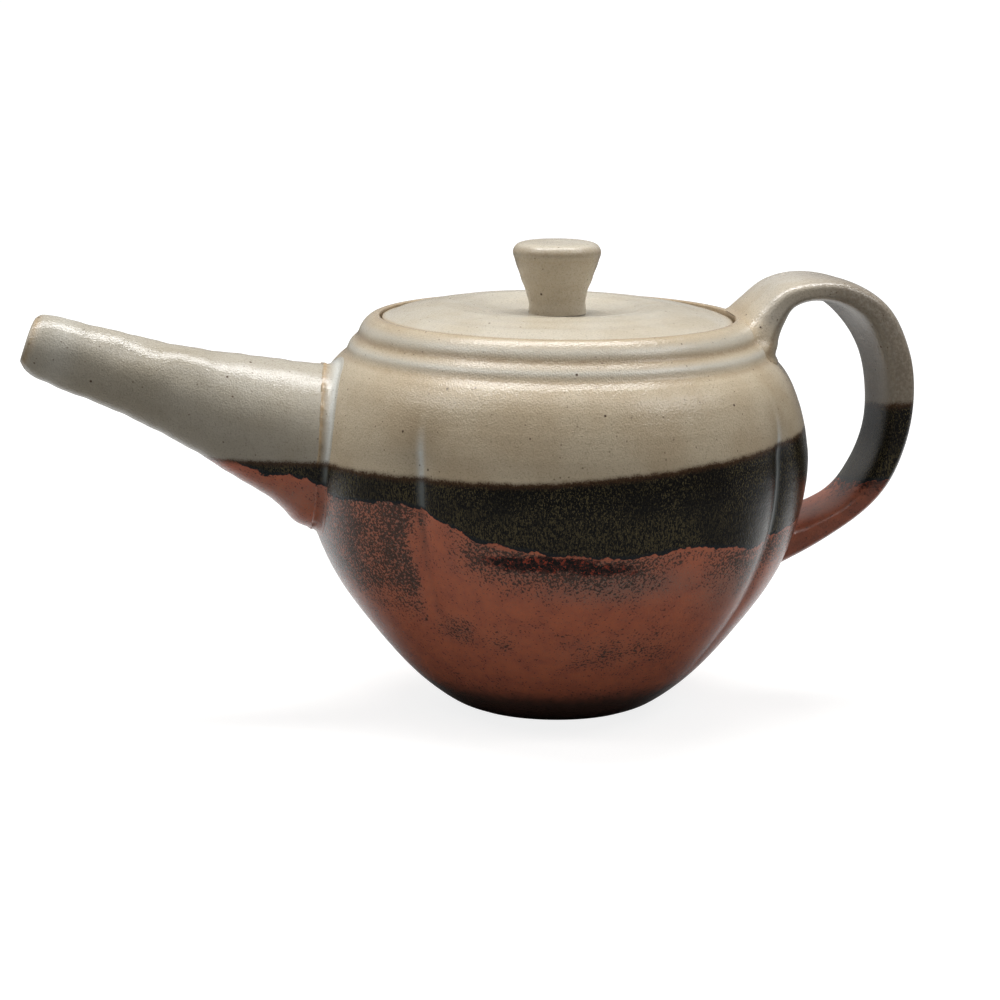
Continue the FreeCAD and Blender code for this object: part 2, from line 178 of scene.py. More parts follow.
def spline(points, count):
    """A smooth path through points, evenly stepped; every column is carried along."""
    p = np.array(points, float)
    knots = np.concatenate([[0], np.cumsum(np.linalg.norm(np.diff(p[:, :2], axis=0), axis=1) ** 0.5)])
    slopes = np.empty_like(p)
    step = np.diff(knots)[:, None]
    rate = np.diff(p, axis=0) / step
    slopes[1:-1] = (rate[:-1] * step[1:] + rate[1:] * step[:-1]) / (step[1:] + step[:-1])
    slopes[0], slopes[-1] = rate[0], rate[-1]

    def at(u):
        i = np.clip(np.searchsorted(knots, u, side="right") - 1, 0, len(knots) - 2)
        h = (knots[i + 1] - knots[i])[:, None]
        s = ((u - knots[i]) / (knots[i + 1] - knots[i]))[:, None]
        return (
            (2 * s**3 - 3 * s**2 + 1) * p[i] + (s**3 - 2 * s**2 + s) * h * slopes[i]
            + (3 * s**2 - 2 * s**3) * p[i + 1] + (s**3 - s**2) * h * slopes[i + 1]
        )

    fine = at(np.linspace(0, knots[-1], 40 * len(p)))
    run = np.concatenate([[0], np.cumsum(np.linalg.norm(np.diff(fine[:, :2], axis=0), axis=1))])
    steps = np.interp(np.linspace(0, run[-1], count), run, np.linspace(0, knots[-1], len(fine)))
    return at(steps)


def rounded(corners, radius, arc_steps=4):
    """A polyline whose inner corners are rounded; its first and last points stay."""
    points = [np.array(corners[0], float)]
    for before, here, after in zip(corners, corners[1:], corners[2:]):
        before, here, after = (np.array(c, float) for c in (before, here, after))
        a, b = before - here, after - here
        reach = min(radius, np.linalg.norm(a[:2]) / 2.2, np.linalg.norm(b[:2]) / 2.2)
        start = here + a * reach / np.linalg.norm(a[:2])
        end = here + b * reach / np.linalg.norm(b[:2])
        for k in range(arc_steps + 1):
            s = k / arc_steps
            points.append((1 - s) ** 2 * start + 2 * s * (1 - s) * here + s**2 * end)
    points.append(np.array(corners[-1], float))
    return points


def stepped(points, step):
    """The same polyline with no run longer than a step."""
    out = [points[0]]
    for a, b in zip(points, points[1:]):
        n = max(1, int(math.ceil(np.linalg.norm(np.array(b)[:2] - np.array(a)[:2]) / step)))
        for k in range(1, n + 1):
            out.append(a + (b - a) * k / n)
    return np.array(out)


PROFILE = spline(OUTSIDE, 420)
PROFILE_R, PROFILE_Z, PROFILE_PRESS = PROFILE[np.argsort(PROFILE[:, 1])].T


def plain_radius(z):
    """Radius of the body's outside at a height, without grooves and unevenness."""
    return np.interp(z, PROFILE_Z, PROFILE_R)


def press_share(z):
    """Share of the grooves' depth at a height."""
    return np.interp(z, PROFILE_Z, PROFILE_PRESS)


def unit(x):
    """Held between 0 and 1."""
    return np.clip(x, 0, 1)


def gauss(x, width):
    """1 at nothing, fading over a width."""
    return np.exp(-((x / width) ** 2))


def direction(v):
    """Vectors brought to length 1."""
    return v / np.linalg.norm(v, axis=-1)[..., None]


def level_ring(angle, r, z):
    """Points at angles in degrees, radii and heights."""
    return np.stack([r * np.cos(angle * DEG), r * np.sin(angle * DEG), z], -1)


def angle_of(p):
    """Degrees of points round the pot's axis, from +X towards +Y."""
    return np.degrees(np.arctan2(p[..., 1], p[..., 0]))


def apart(a, b):
    """Degrees from b to a, between -180 and 180."""
    return (a - b + 180) % 360 - 180


def groove_away(angle):
    """Degrees to the nearest groove."""
    return np.min([np.abs(apart(angle, g)) for g in GROOVE_ANGLES], axis=0)


def crease(angle):
    """1 in a groove's bottom, fading to 0 at the middle of the lobes."""
    off = groove_away(angle) / HALF_LOBE
    return np.exp(-(np.sqrt(off**2 + CREASE_ROUND**2) - CREASE_ROUND) / GROOVE_SPREAD)


def waver(angle, z):
    """The small unevenness of a pot thrown and pressed by hand."""
    a = angle * DEG
    slow = 0.16 * np.sin(2 * a + 0.05 * z + 0.6) + 0.11 * np.sin(3 * a - 0.07 * z + 2.1)
    middle = 0.09 * np.sin(7 * a + 0.11 * z + 1.0) * np.sin(0.13 * z + 0.4)
    rings = 0.012 * np.sin(z * 1.05 + 0.8 * np.sin(a)) + 0.008 * np.sin(z * 2.3 + a + 1.3)
    fade = np.clip(z / 12, 0, 1) * np.clip((100 - z) / 10, 0.25, 1)
    return (slow + middle + rings - 0.25) * fade


def body_radius(angle, z):
    """Radius of the body's outside at an angle in degrees and a height."""
    return plain_radius(z) - press_share(z) * GROOVE_DEPTH * crease(angle) + waver(angle, z)


def on_body(p):
    """The point of the body's outside that is level with a point."""
    angle = angle_of(p)
    return level_ring(angle, body_radius(angle, p[2]), p[2])


def depth_in_body(p):
    """How far points lie inside the body's outside, measured level; negative outside."""
    return body_radius(angle_of(p), p[..., 2]) - np.hypot(p[..., 0], p[..., 1])


def body_normal(p, reach):
    """Outward direction of the body nearest to points, smoothed over a reach in height."""
    angle = angle_of(p)
    z = np.clip(p[..., 2], reach, RIM_Z - reach)
    slope = (body_radius(angle, z + reach) - body_radius(angle, z - reach)) / (2 * reach)
    return direction(np.stack([np.cos(angle * DEG), np.sin(angle * DEG), -slope], -1))


def meet_body(path, start, end, inset, top=math.inf):
    """Where a path from start to end first lies deeper than an inset in the body, below a top."""
    t = start + (end - start) * np.linspace(0, 1, 160)
    points = path(t)
    inside = (depth_in_body(points) > inset) & (points[:, 2] < top)
    if not inside.any():
        return end
    k = int(np.argmax(inside))
    lo, hi = t[max(k - 1, 0)], t[k]
    for _ in range(26):
        mid = (lo + hi) / 2
        here = path(np.array([mid]))
        if depth_in_body(here)[0] > inset and here[0, 2] < top:
            hi = mid
        else:
            lo = mid
    return hi


# Meshes

def new_object(name, points, faces):
    """A mesh object from points in millimetres."""
    mesh = bpy.data.meshes.new(name)
    mesh.from_pydata((np.array(points) * MM).tolist(), [], faces)
    obj = bpy.data.objects.new(name, mesh)
    bpy.context.scene.collection.objects.link(obj)
    return obj


def quads(count, ring, wrap):
    """Faces between rows that are rings; where they wrap, the last row meets the first."""
    i, j = np.meshgrid(np.arange(count if wrap else count - 1), np.arange(ring), indexing="ij")
    i2, j2 = (i + 1) % count, (j + 1) % ring
    corners = [i * ring + j, i * ring + j2, i2 * ring + j2, i2 * ring + j]
    return np.stack(corners, -1).reshape(-1, 4).tolist()


def grid_mesh(name, rows):
    """A tube of rows, each a ring of points, closed by a fan at both ends."""
    rows = np.asarray(rows, float)
    count, ring = rows.shape[:2]
    points = rows.reshape(-1, 3).tolist()
    faces = quads(count, ring, False)
    for row, order in ((0, 1), (count - 1, -1)):
        points.append(rows[row].mean(axis=0).tolist())
        for a in range(ring):
            pair = (row * ring + (a + 1) % ring, row * ring + a)
            faces.append([len(points) - 1, *pair[::order]])
    obj = new_object(name, points, faces)
    obj.data.validate()
    return obj


def loop_mesh(name, rows):
    """A ring-shaped solid: rows close on themselves as well."""
    rows = np.asarray(rows, float)
    return new_object(name, rows.reshape(-1, 3), quads(*rows.shape[:2], True))


def turned_rows(profile, segments, shaper):
    """Rings of a turned form from (radius, height) points, each bent by the shaper."""
    angle = np.linspace(-180, 180, segments, endpoint=False)
    rows = []
    for point in profile:
        r, z = shaper(np.full(segments, point[0]), np.full(segments, point[1]), angle, point)
        rows.append(level_ring(angle, r, z))
    return np.array(rows)


def places(obj):
    """The points of an object's mesh, in millimetres."""
    co = np.empty(len(obj.data.vertices) * 3)
    obj.data.vertices.foreach_get("co", co)
    return co.reshape(-1, 3) / MM


def shade(mesh):
    """Smooth, while edges sharper than a soft turn stay sharp."""
    mesh.shade_smooth()
    mesh.set_sharp_from_angle(angle=SHARP_ANGLE)


def outward(obj):
    """Faces point out, and the mesh is shaded."""
    mesh = obj.data
    mesh.calc_loop_triangles()
    corners = np.empty(len(mesh.loop_triangles) * 3, dtype=np.int64)
    mesh.loop_triangles.foreach_get("vertices", corners)
    a, b, c = places(obj)[corners.reshape(-1, 3)].transpose(1, 0, 2)
    if np.einsum("ij,ij->i", a, np.cross(b, c)).sum() < 0:
        mesh.flip_normals()
    shade(mesh)
    return obj


def cut_round_hole(obj, radius, start, end):
    """A round hole along the line from start to end."""
    start, end = Vector(start), Vector(end)
    axis = (end - start).normalized()
    side = axis.orthogonal().normalized()
    up = axis.cross(side)
    turns = np.linspace(0, 2 * math.pi, HOLE_RING, endpoint=False)
    rows = []
    for centre in (start, end):
        rows.append([tuple(centre + radius * (math.cos(a) * side + math.sin(a) * up)) for a in turns])
    cutter = outward(grid_mesh("cutter", rows))
    modifier = obj.modifiers.new("hole", "BOOLEAN")
    modifier.operation = "DIFFERENCE"
    modifier.solver = "MANIFOLD"
    modifier.object = cutter
    bpy.context.view_layer.update()
    graph = bpy.context.evaluated_depsgraph_get()
    done = bpy.data.meshes.new_from_object(obj.evaluated_get(graph))
    obj.modifiers.clear()
    obj.data = done
    bpy.data.objects.remove(cutter)
    shade(done)


def mark(obj, **fields):
    """Keeps a number at each vertex for the glaze to read; a field that isn't kept reads as 0."""
    count = len(obj.data.vertices)
    for name, values in fields.items():
        layer = obj.data.attributes.new(name, "FLOAT", "POINT")
        layer.data.foreach_set("value", np.broadcast_to(values, count).astype(np.float32))


# Glaze lines

# Where the pale glaze ends: its height at the front, and its rise per millimetre of X
CREAM_Z = 69.4
CREAM_TURN_X = -15.0
CREAM_SLOPES = (0.028, 0.076)
# The heights of both lines on the strap's outer turn
STRAP_CREAM_Z = 78.2
STRAP_RED_Z = 58.4
# Where the dark band ends on the body: angle and height
RED_LINE = [
    (-180, 60.5), (-156, 59.8), (-144, 60.7), (-136, 61.5), (-131, 60.2), (-127, 58.3), (-122, 56.8),
    (-119, 54.8), (-112, 53.0), (-105, 52.2), (-99, 51.0), (-90, 50.3), (-81, 50.4), (-73, 51.5),
    (-66, 51.8), (-53, 50.0), (-45, 48.7), (-29, 51.3), (0, 54.0), (30, 52.0), (60, 50.0),
    (95, 51.5), (130, 54.0), (160, 58.5), (180, 60.5),
]
# Soft spots on the body: angle, height, reach round the wall and up, strength
SPECKLED = [(-127, 29, 9, 6, 0.75), (-115, 27, 9, 6, 0.60), (-80, 24, 26, 8, 0.65)]
CLEAR = [(-127, 53, 7, 7, 0.8), (-68, 45, 9, 7, 0.75)]
ASHY = [(-84, 43, 22, 5, 1.0), (-49, 41, 16, 9, 1.0), (-107, 47, 10, 4, 0.7)]
BURNT = [(-103, 49.0, 15, 2.4, 1.0), (-90, 47.5, 12, 2.2, 0.75)]

# Heights over both glaze lines where a surface is pale all over
FAR_ABOVE_CREAM = 20.0
FAR_ABOVE_RED = 30.0
ALL_PALE = {"cream_h": FAR_ABOVE_CREAM, "red_h": FAR_ABOVE_RED}


def above_cream(p):
    """Height of points over the line where the pale glaze ends."""
    x = p[:, 0] - CREAM_TURN_X
    return p[:, 2] - CREAM_Z - CREAM_SLOPES[0] * np.minimum(x, 0) - CREAM_SLOPES[1] * np.maximum(x, 0)


def above_red(p):
    """Height of points over the line where the dark band ends."""
    line = np.array(RED_LINE, float)
    return p[:, 2] - np.interp(angle_of(p), line[:, 0], line[:, 1])


def blob(p, angle, z, wide, tall, strength):
    """A soft spot on the body at an angle and a height, with its reach in mm."""
    off = apart(angle_of(p), angle) * WALL_DEGREE
    return strength * np.exp(-((off / wide) ** 2) - ((p[:, 2] - z) / tall) ** 2)


def blobs(p, spots):
    return np.maximum.reduce([blob(p, *spot) for spot in spots])


# Pieces

def body_profile():
    """Radius, height and groove share from under the foot over the rim to the bowl's floor.

    With them come the places where the outside starts and ends and where the inside starts.
    """
    under = [
        (AXIS_R, RECESS_Z, 0), (RECESS_R - RECESS_Z, RECESS_Z, 0), (RECESS_R, 0, 0),
        (FOOT_R - 0.6, 0, 0),
    ]
    under = stepped(rounded(under, 0.5), 1.5)
    outside = list(spline(OUTSIDE, BODY_STEPS))
    rim = [
        (46.9, 102.0, 0), (GALLERY_R + 0.1, 101.95, 0), (GALLERY_R, SEAT_Z, 0),
        (MOUTH_R, SEAT_Z, 0), (MOUTH_R, LEDGE_Z, 0), (41.5, LEDGE_Z - 1.2, 0),
    ]
    rim = stepped(rounded(rim, 0.5), 0.8)
    inner = []
    coarse = PROFILE[::6]
    for before, here, after in zip(coarse, coarse[1:], coarse[2:]):
        run, rise = after[:2] - before[:2]
        length = math.hypot(run, rise)
        r, z = here[0] - WALL * rise / length, here[1] + WALL * run / length
        if FLOOR_Z + 2.4 < z < LEDGE_Z - 3.6:
            inner.append(np.array([r, z, here[2]]))
    floor_r = inner[0][0] - 3.0
    floor = [(floor_r, FLOOR_Z + 0.5, 0), (floor_r - 3, FLOOR_Z, 0), (AXIS_R, FLOOR_Z, 0)]
    inside = stepped(inner[::-1] + [np.array(point) for point in floor], 2.0)
    first_out, last_out = len(under), len(under) + len(outside) - 1
    return [*under, *outside[1:], *rim, *inside], first_out, last_out, last_out + len(rim)


def mark_body(obj):
    """The glaze's fields on the body, outside, inside and under the foot."""
    p = places(obj)
    z = p[:, 2]
    r = np.hypot(p[:, 0], p[:, 1])
    angle = angle_of(p)
    within = (depth_in_body(p) > 1.5) & (z > RECESS_Z + 1) & (z < RIM_Z - 0.4)
    inside = within | ((r < GALLERY_R + 0.3) & (z > LEDGE_Z - 3))
    under = (z < 2.7) & (r < 21.3)
    off = groove_away(angle) * WALL_DEGREE
    groove_line = gauss(off, 0.95) * unit(press_share(z) * 2.2 - 0.25) * np.clip((z - 44) / 8, 0.35, 1)
    # Bluish pooled glaze along the pressed grooves; the bands on the rim's two rolls are partly bluish
    # glaze and partly a painted highlight.
    pool = np.maximum.reduce([groove_line, 0.42 * gauss(z - 99.3, 1.2), 0.50 * gauss(z - 94.6, 0.9)])
    # Ochre where the glaze is thin at the rim's top edge; in the two grooves under the rim partly thin
    # glaze and partly painted shade; beside the pressed grooves' tops, painted shade in the dents.
    bare = np.maximum.reduce([
        0.55 * gauss(z - 102.1, 0.35), 0.80 * gauss(z - 97.0, 0.9), 0.50 * gauss(z - 92.2, 0.6),
        0.5 * gauss(off, 5.0) * gauss(z - 80, 4) * (1 - gauss(off, 1.2)),
    ])
    red_h = above_red(p)
    under_band = unit(0.26 + 0.95 * unit((red_h + 14) / 12) * unit(-red_h))
    round_left = np.where(angle > 90, angle - 360, angle)
    left_lobe = unit((-133 - round_left) / 3) * unit((round_left + 207) / 32)
    speck = np.maximum.reduce([under_band, left_lobe * unit((z - 24) / 16), blobs(p, SPECKLED)])
    for spot in CLEAR:
        speck = speck * (1 - blob(p, *spot))
    mark(
        obj,
        cream_h=np.where(inside, FAR_ABOVE_CREAM, above_cream(p)),
        red_h=np.where(inside, FAR_ABOVE_RED, red_h),
        pool=np.where(inside, 0, pool),
        bare=np.where(inside, 0.35 + 0.5 * (z > 93), bare),
        speck=speck,
        ash=np.maximum(blobs(p, ASHY), 0.5 * speck),
        burnt=blobs(p, BURNT),
        base=unit((13.6 - z) / 9.0) * ~inside,
        clay=under.astype(float),
    )


def make_body():
    profile, first_out, last_out, first_in = body_profile()
    angle = np.linspace(-180, 180, BODY_RING, endpoint=False)
    rows = []
    for i, (r, z, press) in enumerate(profile):
        ring_r, ring_z = np.full(BODY_RING, r), np.full(BODY_RING, z)
        if first_out <= i < last_out or i >= first_in:
            ring_r = ring_r - press * GROOVE_DEPTH * crease(angle)
        if first_out <= i < last_out:
            ring_r = ring_r + waver(angle, ring_z)
        rows.append(level_ring(angle, ring_r, ring_z))
    obj = outward(grid_mesh("pot_body", rows))
    cut_round_hole(obj, HOLE_R, (-45, 0, HOLE_Z), (-80, 0, HOLE_Z))
    mark_body(obj)
    return obj


# The spout's root and run, its heading, and the direction across it that points up
SPOUT_ROOT = np.array([-plain_radius(SPOUT_ROOT_Z), 0, SPOUT_ROOT_Z])
SPOUT_RUN = np.array([SPOUT_TIP[0], 0, SPOUT_TIP[1]]) - SPOUT_ROOT
SPOUT_HEADING = direction(SPOUT_RUN)
SPOUT_UP = np.array([SPOUT_HEADING[2], 0, -SPOUT_HEADING[0]])
SPOUT_LINE = spline([(s * SPOUT_LENGTH, f * FLARE_R, s, f) for s, f in SPOUT_FLARE], 200)


def spout_flare(s):
    """Share of the flare at a place; behind the root it goes on at its first slope."""
    first_s, first_flare = SPOUT_FLARE[1]
    shown = np.interp(s, SPOUT_LINE[:, 2], SPOUT_LINE[:, 3])
    return shown - np.minimum(s, 0) * (1 - first_flare) / first_s


def spout_point(s, turn, root_growth=0.0, tip_growth=0.0, rough=True):
    """A point on the spout: place along it, turn from its top (degrees, front is positive)."""
    t = turn * DEG
    r = SPOUT_TIP_R + FLARE_R * spout_flare(s) + root_growth + (tip_growth - root_growth) * s
    if rough:
        r = r + 0.14 * np.sin(2 * t + 9 * s) + 0.10 * np.sin(3 * t - 17 * s + 1)
        r = r + 0.07 * np.sin(44 * s + t) + 0.04 * np.sin(90 * s + 2 * t)
        for place, side, reach, spread, deep in SPOUT_DENTS:
            away = apart(turn, side) / spread
            r = r - deep * np.exp(-((s - place) / reach) ** 2 - away**2)
    rise = SPOUT_BOW * 4 * s * (1 - s)
    centre = SPOUT_ROOT + SPOUT_RUN * s[..., None] + np.array([0, 0, 1]) * rise[..., None]
    across = np.cos(t)[..., None] * SPOUT_UP - np.sin(t)[..., None] * np.array([0, 1.0, 0])
    return centre + across * r[..., None]


def spout_meets(turn, inset, *growth):
    """Place along the spout where it lies an inset deep in the body, at one turn."""
    return meet_body(lambda s: spout_point(s, np.full(len(s), turn), *growth), *SPOUT_SEARCH, inset)


def make_spout():
    turns = np.linspace(0, 360, SPOUT_RING, endpoint=False)
    ends = np.array([spout_meets(turn, SPOUT_INSET) for turn in turns])
    bore_ends = np.array([spout_meets(turn, SPOUT_INSET, *BORE) for turn in turns])
    wave = 0.0012 * np.sin(2 * turns * DEG + 0.5) + LIP_TURN * np.sin(turns * DEG)
    rows = [spout_point(ends + (LIP_START - ends) * k, turns) for k in np.linspace(0, 1, SPOUT_ROWS)]
    rows += [spout_point(s + wave, turns, growth, growth) for s, growth in LIP_ROWS]
    for k in np.linspace(0.03, 1, BORE_ROWS):
        rows.append(spout_point(BORE_START + (bore_ends - BORE_START) * k, turns, *BORE))
    obj = outward(loop_mesh("pot_spout", rows))
    p = places(obj)
    s = (p - SPOUT_ROOT) @ SPOUT_HEADING / np.linalg.norm(SPOUT_RUN)
    wedge = 67.8 + np.minimum(0, -0.225 * (p[:, 0] + 90.0)) + 0.6 * np.sin(p[:, 0] * 0.35)
    mark(
        obj, cream_h=above_cream(p), red_h=p[:, 2] - wedge, pool=0.25 * gauss(s - 0.9, 0.06),
        bare=0.8 * gauss(s - 0.997, 0.010), speck=0.25, ash=0.55 * gauss(p[:, 2] - 58, 5),
    )
    return obj


def collar_section(turn):
    """The cove's outline at one turn: from its head on the spout to its foot, and back inside."""
    def at(s, turned=turn):
        return spout_point(np.array([s]), np.array([turned]))[0]

    s = spout_meets(turn, 0.0)
    joint = at(s)
    out = np.cross(direction(at(s, turn + 0.5) - joint), direction(at(s + 0.02) - joint))
    from_root = joint - SPOUT_ROOT
    if out @ (from_root - SPOUT_HEADING * (from_root @ SPOUT_HEADING)) < 0:
        out = -out
    normal = body_normal(joint, 0.05)
    down = direction(out - normal * (out @ normal))
    top_share = 0.5 + 0.5 * math.cos(turn * DEG)
    leg_spout = 2.2 + 0.9 * top_share + 0.25 * math.sin(3 * turn * DEG)
    leg_body = 1.7 + 1.3 * top_share**2 + 0.15 * math.sin(5 * turn * DEG + 1)
    foot = on_body(joint + down * leg_body)
    head = at(s + leg_spout / SPOUT_LENGTH)
    uneven = math.sin(turn * 0.31 + 1) + math.sin(turn * 0.57) * math.sin(turn * 0.13)
    section = []
    for k in np.linspace(0, 1, COLLAR_STEPS):
        edge = (1 - k) ** 2.1 * (head - joint) + k**2.1 * (foot - joint)
        lift = 0.36 * gauss(k - 0.10, 0.10) + 0.10 * gauss(k - 0.93, 0.08)
        lift += 0.13 * gauss(k - 0.12, 0.14) * uneven
        sunk = out * 0.12 * (k == 0) + normal * 0.12 * (k == 1)
        section.append(joint + edge + (out * (1 - k) + normal * k) * lift - sunk)
    return section + [foot - normal * 0.7, joint - out * 0.6 - normal * 0.6, head - out * 0.7]


def make_collar():
    """The cove of clay in the corner round the spout's root."""
    turns = np.linspace(0, 360, COLLAR_RING, endpoint=False)
    obj = outward(loop_mesh("pot_spout_collar", [collar_section(turn) for turn in turns]))
    p = places(obj)
    k = np.tile(np.concatenate([np.linspace(0, 1, COLLAR_STEPS), [1, 0.5, 0]]), COLLAR_RING)
    low = unit((66 - p[:, 2]) / 6)
    mark(
        obj, cream_h=above_cream(p), red_h=p[:, 2] - 62.0, speck=0.35, ash=0.5,
        pool=0.8 * gauss(k - 0.66, 0.24) * (1 - 0.35 * low),
        bare=0.75 * gauss(k - 0.08, 0.10) + 0.25 * gauss(k - 0.2, 0.2),
    )
    return obj


def handle_lines():
    """Centres, and shares of width, thickness and twist, along the strap, evenly stepped."""
    root_x, root_z = HANDLE_ROOT
    foot_x = plain_radius(HANDLE_LOW_Z) - WALL / 2
    stations = [(root_x, root_z, *HANDLE_ROOT_SHARES, 0)]
    for out, up, wide, thick, twist in HANDLE_SHARES:
        x = root_x + (HANDLE_REACH - root_x) * out
        z = HANDLE_LOW_Z + (HANDLE_TOP_Z - HANDLE_LOW_Z) * up
        stations.append((x, z, wide, thick, twist))
    stations.append((foot_x, HANDLE_LOW_Z, *HANDLE_FOOT_SHARES, 0))
    stations.append((foot_x - 1.5 * WALL, HANDLE_LOW_Z - 0.6 * WALL, *HANDLE_FOOT_SHARES, 0))
    return spline(stations, 400)


STRAP = handle_lines()


def strap_points(t, corner):
    """Points of the strap at places t (0 to 1), each with its own angle in the outline."""
    u = np.linspace(0, 1, len(STRAP))
    x, z, wide, thick, twist = (np.interp(t, u, STRAP[:, c]) for c in range(5))
    before, after = unit(t - 0.004), unit(t + 0.004)
    dx, dz = (np.interp(after, u, STRAP[:, c]) - np.interp(before, u, STRAP[:, c]) for c in (0, 1))
    heading = direction(np.stack([dx, 0 * t, dz], -1))
    away = np.stack([-heading[:, 2], 0 * t, heading[:, 0]], -1)
    side = np.array([0, 1.0, 0])
    roll = (twist * HANDLE_TWIST * DEG)[:, None]
    across = side * np.cos(roll) - away * np.sin(roll)
    face = away * np.cos(roll) + side * np.sin(roll)
    c, s = np.cos(corner), np.sin(corner)
    size = (np.abs(c) ** STRAP_POWER + np.abs(s) ** STRAP_POWER) ** (-1 / STRAP_POWER)
    bumps = 0.10 * np.sin(31 * t + 2 * corner) + 0.08 * np.sin(17 * t - corner + 1)
    half_w = wide * HANDLE_WIDTH / 2 + bumps
    half_t = thick * HANDLE_T / 2 + bumps * 0.7
    centre = np.stack([x, 0 * t, z], -1)
    return centre + across * (c * size * half_w)[:, None] + face * (s * size * half_t)[:, None]


def smeared(p, flare, reach):
    """A ring of the strap, spread along the wall by a flare where it is within reach of it."""
    depth = depth_in_body(p)
    normal = body_normal(p, 4.0)
    push = direction(p - p.mean(axis=0))
    push = direction(push - normal * (push * normal).sum(axis=1)[:, None])
    spread = flare * unit(1 + np.minimum(depth, 0) / reach) ** 2.4
    moved = p + push * spread[:, None]
    slip = (depth - depth_in_body(moved)) * unit(spread)
    level = moved * (1, 1, 0) / np.hypot(moved[:, 0], moved[:, 1])[:, None]
    return moved - level * slip[:, None]


def mark_handle(obj, corners):
    """The glaze's fields on the strap; it joins the body's glaze near the wall."""
    p = places(obj)
    z = p[:, 2]
    corner = np.concatenate([np.tile(corners, STRAP_ROWS), [0, 0]])
    lower_edges = (math.pi + 0.42, 2 * math.pi - 0.42)
    edge = np.max([gauss(apart(corner / DEG, c / DEG) * DEG, 0.14) for c in lower_edges], axis=0)
    gap = np.clip(-depth_in_body(p), 0, None)
    slant = 0.10 * (p[:, 0] - 86.5) - 0.12 * p[:, 1]
    cream_h = z - STRAP_CREAM_Z - slant
    red_h = z - STRAP_RED_Z - slant
    bare = np.maximum.reduce([
        0.85 * edge * unit((109 - z) / 3),
        0.72 * unit((110 - z) / 9) * unit((gap - 10) / 8),
        0.35 * unit(1 - gap / 3),
        0.75 * unit((p[:, 0] - 61) / 11),
    ])
    mark(
        obj, cream_h=cream_h, red_h=red_h, bare=bare, speck=0.2, join=unit(1.15 - gap / 7),
        pool=0.25 * unit(-np.sin(corner) * 2 - 0.6) * np.clip(cream_h / 3 + 0.5, 0.3, 1) * unit(gap / 8),
        burnt=unit((red_h + 7) / 7) * (red_h < 0) * 0.6,
        # Here the base field paints shade: the strap's near side and outer face turn darker brown in the
        # red.
        base=0.10 + 0.50 * unit(np.maximum(np.sin(corner), -np.cos(corner)) - 0.2),
    )


def make_handle():
    corners = np.linspace(0, 2 * math.pi, STRAP_RING, endpoint=False)
    starts, ends = [], []
    for corner in corners:
        path = lambda t: strap_points(t, np.full(len(t), corner))
        starts.append(meet_body(path, 0.30, 0.0, 1.0, RIM_Z - 0.5))
        ends.append(meet_body(path, 0.70, 1.0, 2.0))
    starts, ends = np.array(starts), np.array(ends)
    under = unit(0.45 - 0.75 * np.sin(corners)) ** 1.5
    rows = []
    for k in np.linspace(0, 1, STRAP_ROWS):
        flare, reach = (0.8 + 2.4 * under, 8.0) if k < 0.5 else (0.6 + 0.3 * under, 4.0)
        rows.append(smeared(strap_points(starts + (ends - starts) * k, corners), flare, reach))
    obj = outward(grid_mesh("pot_handle", rows))
    mark_handle(obj, corners)
    return obj


def make_lid():
    top = spline(LID_TOP, LID_STEPS)
    inner_r = FLANGE_R - FLANGE_T
    corners = [
        tuple(top[0]), (LID_EDGE_R, SEAT_Z + LID_EDGE_T), (LID_EDGE_R, SEAT_Z), (FLANGE_R, SEAT_Z),
        (FLANGE_R, FLANGE_Z), (inner_r, FLANGE_Z), (inner_r, SEAT_Z + 1.0), (AXIS_R, SEAT_Z + 1.0),
    ]
    side = stepped(rounded(corners, 0.7), 1.2)

    def uneven(r, z, angle, point):
        if point[1] > SEAT_Z + 2.5:
            a = angle * DEG
            z = z - 0.007 * r * np.cos(a) + 0.10 * np.sin(2 * a + 0.12 * point[0])
            z = z + 0.05 * np.sin(point[0] * 1.2 + a) - 0.06
        return r, z

    rows = turned_rows([(AXIS_R, LID_MIDDLE_Z), *top[::-1], *side[1:]], LID_RING, uneven)
    obj = outward(grid_mesh("lid_disc", rows))
    cut_round_hole(obj, VENT_R, (0, VENT_Y, 94), (0, VENT_Y, 112))
    p = places(obj)
    r = np.hypot(p[:, 0], p[:, 1])
    bare = np.maximum.reduce([
        0.7 * gauss(r - 45.1, 0.6), 0.10 * gauss(r - 38, 5),
        0.5 * gauss(np.hypot(p[:, 0], p[:, 1] - VENT_Y) - VENT_R, 0.5),
    ])
    mark(
        obj, **ALL_PALE, bare=np.where(p[:, 2] > SEAT_Z + 1.6, bare, 0.8),
        clay=np.where(p[:, 2] < SEAT_Z + 0.5, 0.7, 0.0),
    )
    return obj


def make_knob():
    profile = [(AXIS_R, KNOB_Z)]
    profile += [(max(r, AXIS_R), KNOB_Z + z) for r, z in spline(KNOB_SIDE, KNOB_STEPS)]

    def uneven(r, z, angle, point):
        h = point[1] - KNOB_Z
        r = r * (1 + 0.006 * np.sin(2 * angle * DEG + h * 0.2)) + 0.05 * np.sin(h * 1.7) * (h > 1)
        return r, z + 0.06 * np.sin(angle * DEG + 1) * (h > 16)

    rows = turned_rows(profile, KNOB_RING, uneven)
    rows[..., 0] += KNOB_LEAN * unit((rows[..., 2] - KNOB_Z) / 6)
    obj = outward(grid_mesh("lid_knob", rows))
    p = places(obj)
    h = p[:, 2] - KNOB_Z
    r = np.hypot(p[:, 0], p[:, 1])
    bare = np.maximum.reduce([
        0.55 * gauss(h - 16.4, 1.2), 0.4 * gauss(h - 14, 1.6) * (r > 9), 0.30 * unit((16.5 - h) / 2),
    ])
    mark(obj, **ALL_PALE, bare=bare)
    return obj


# Materials

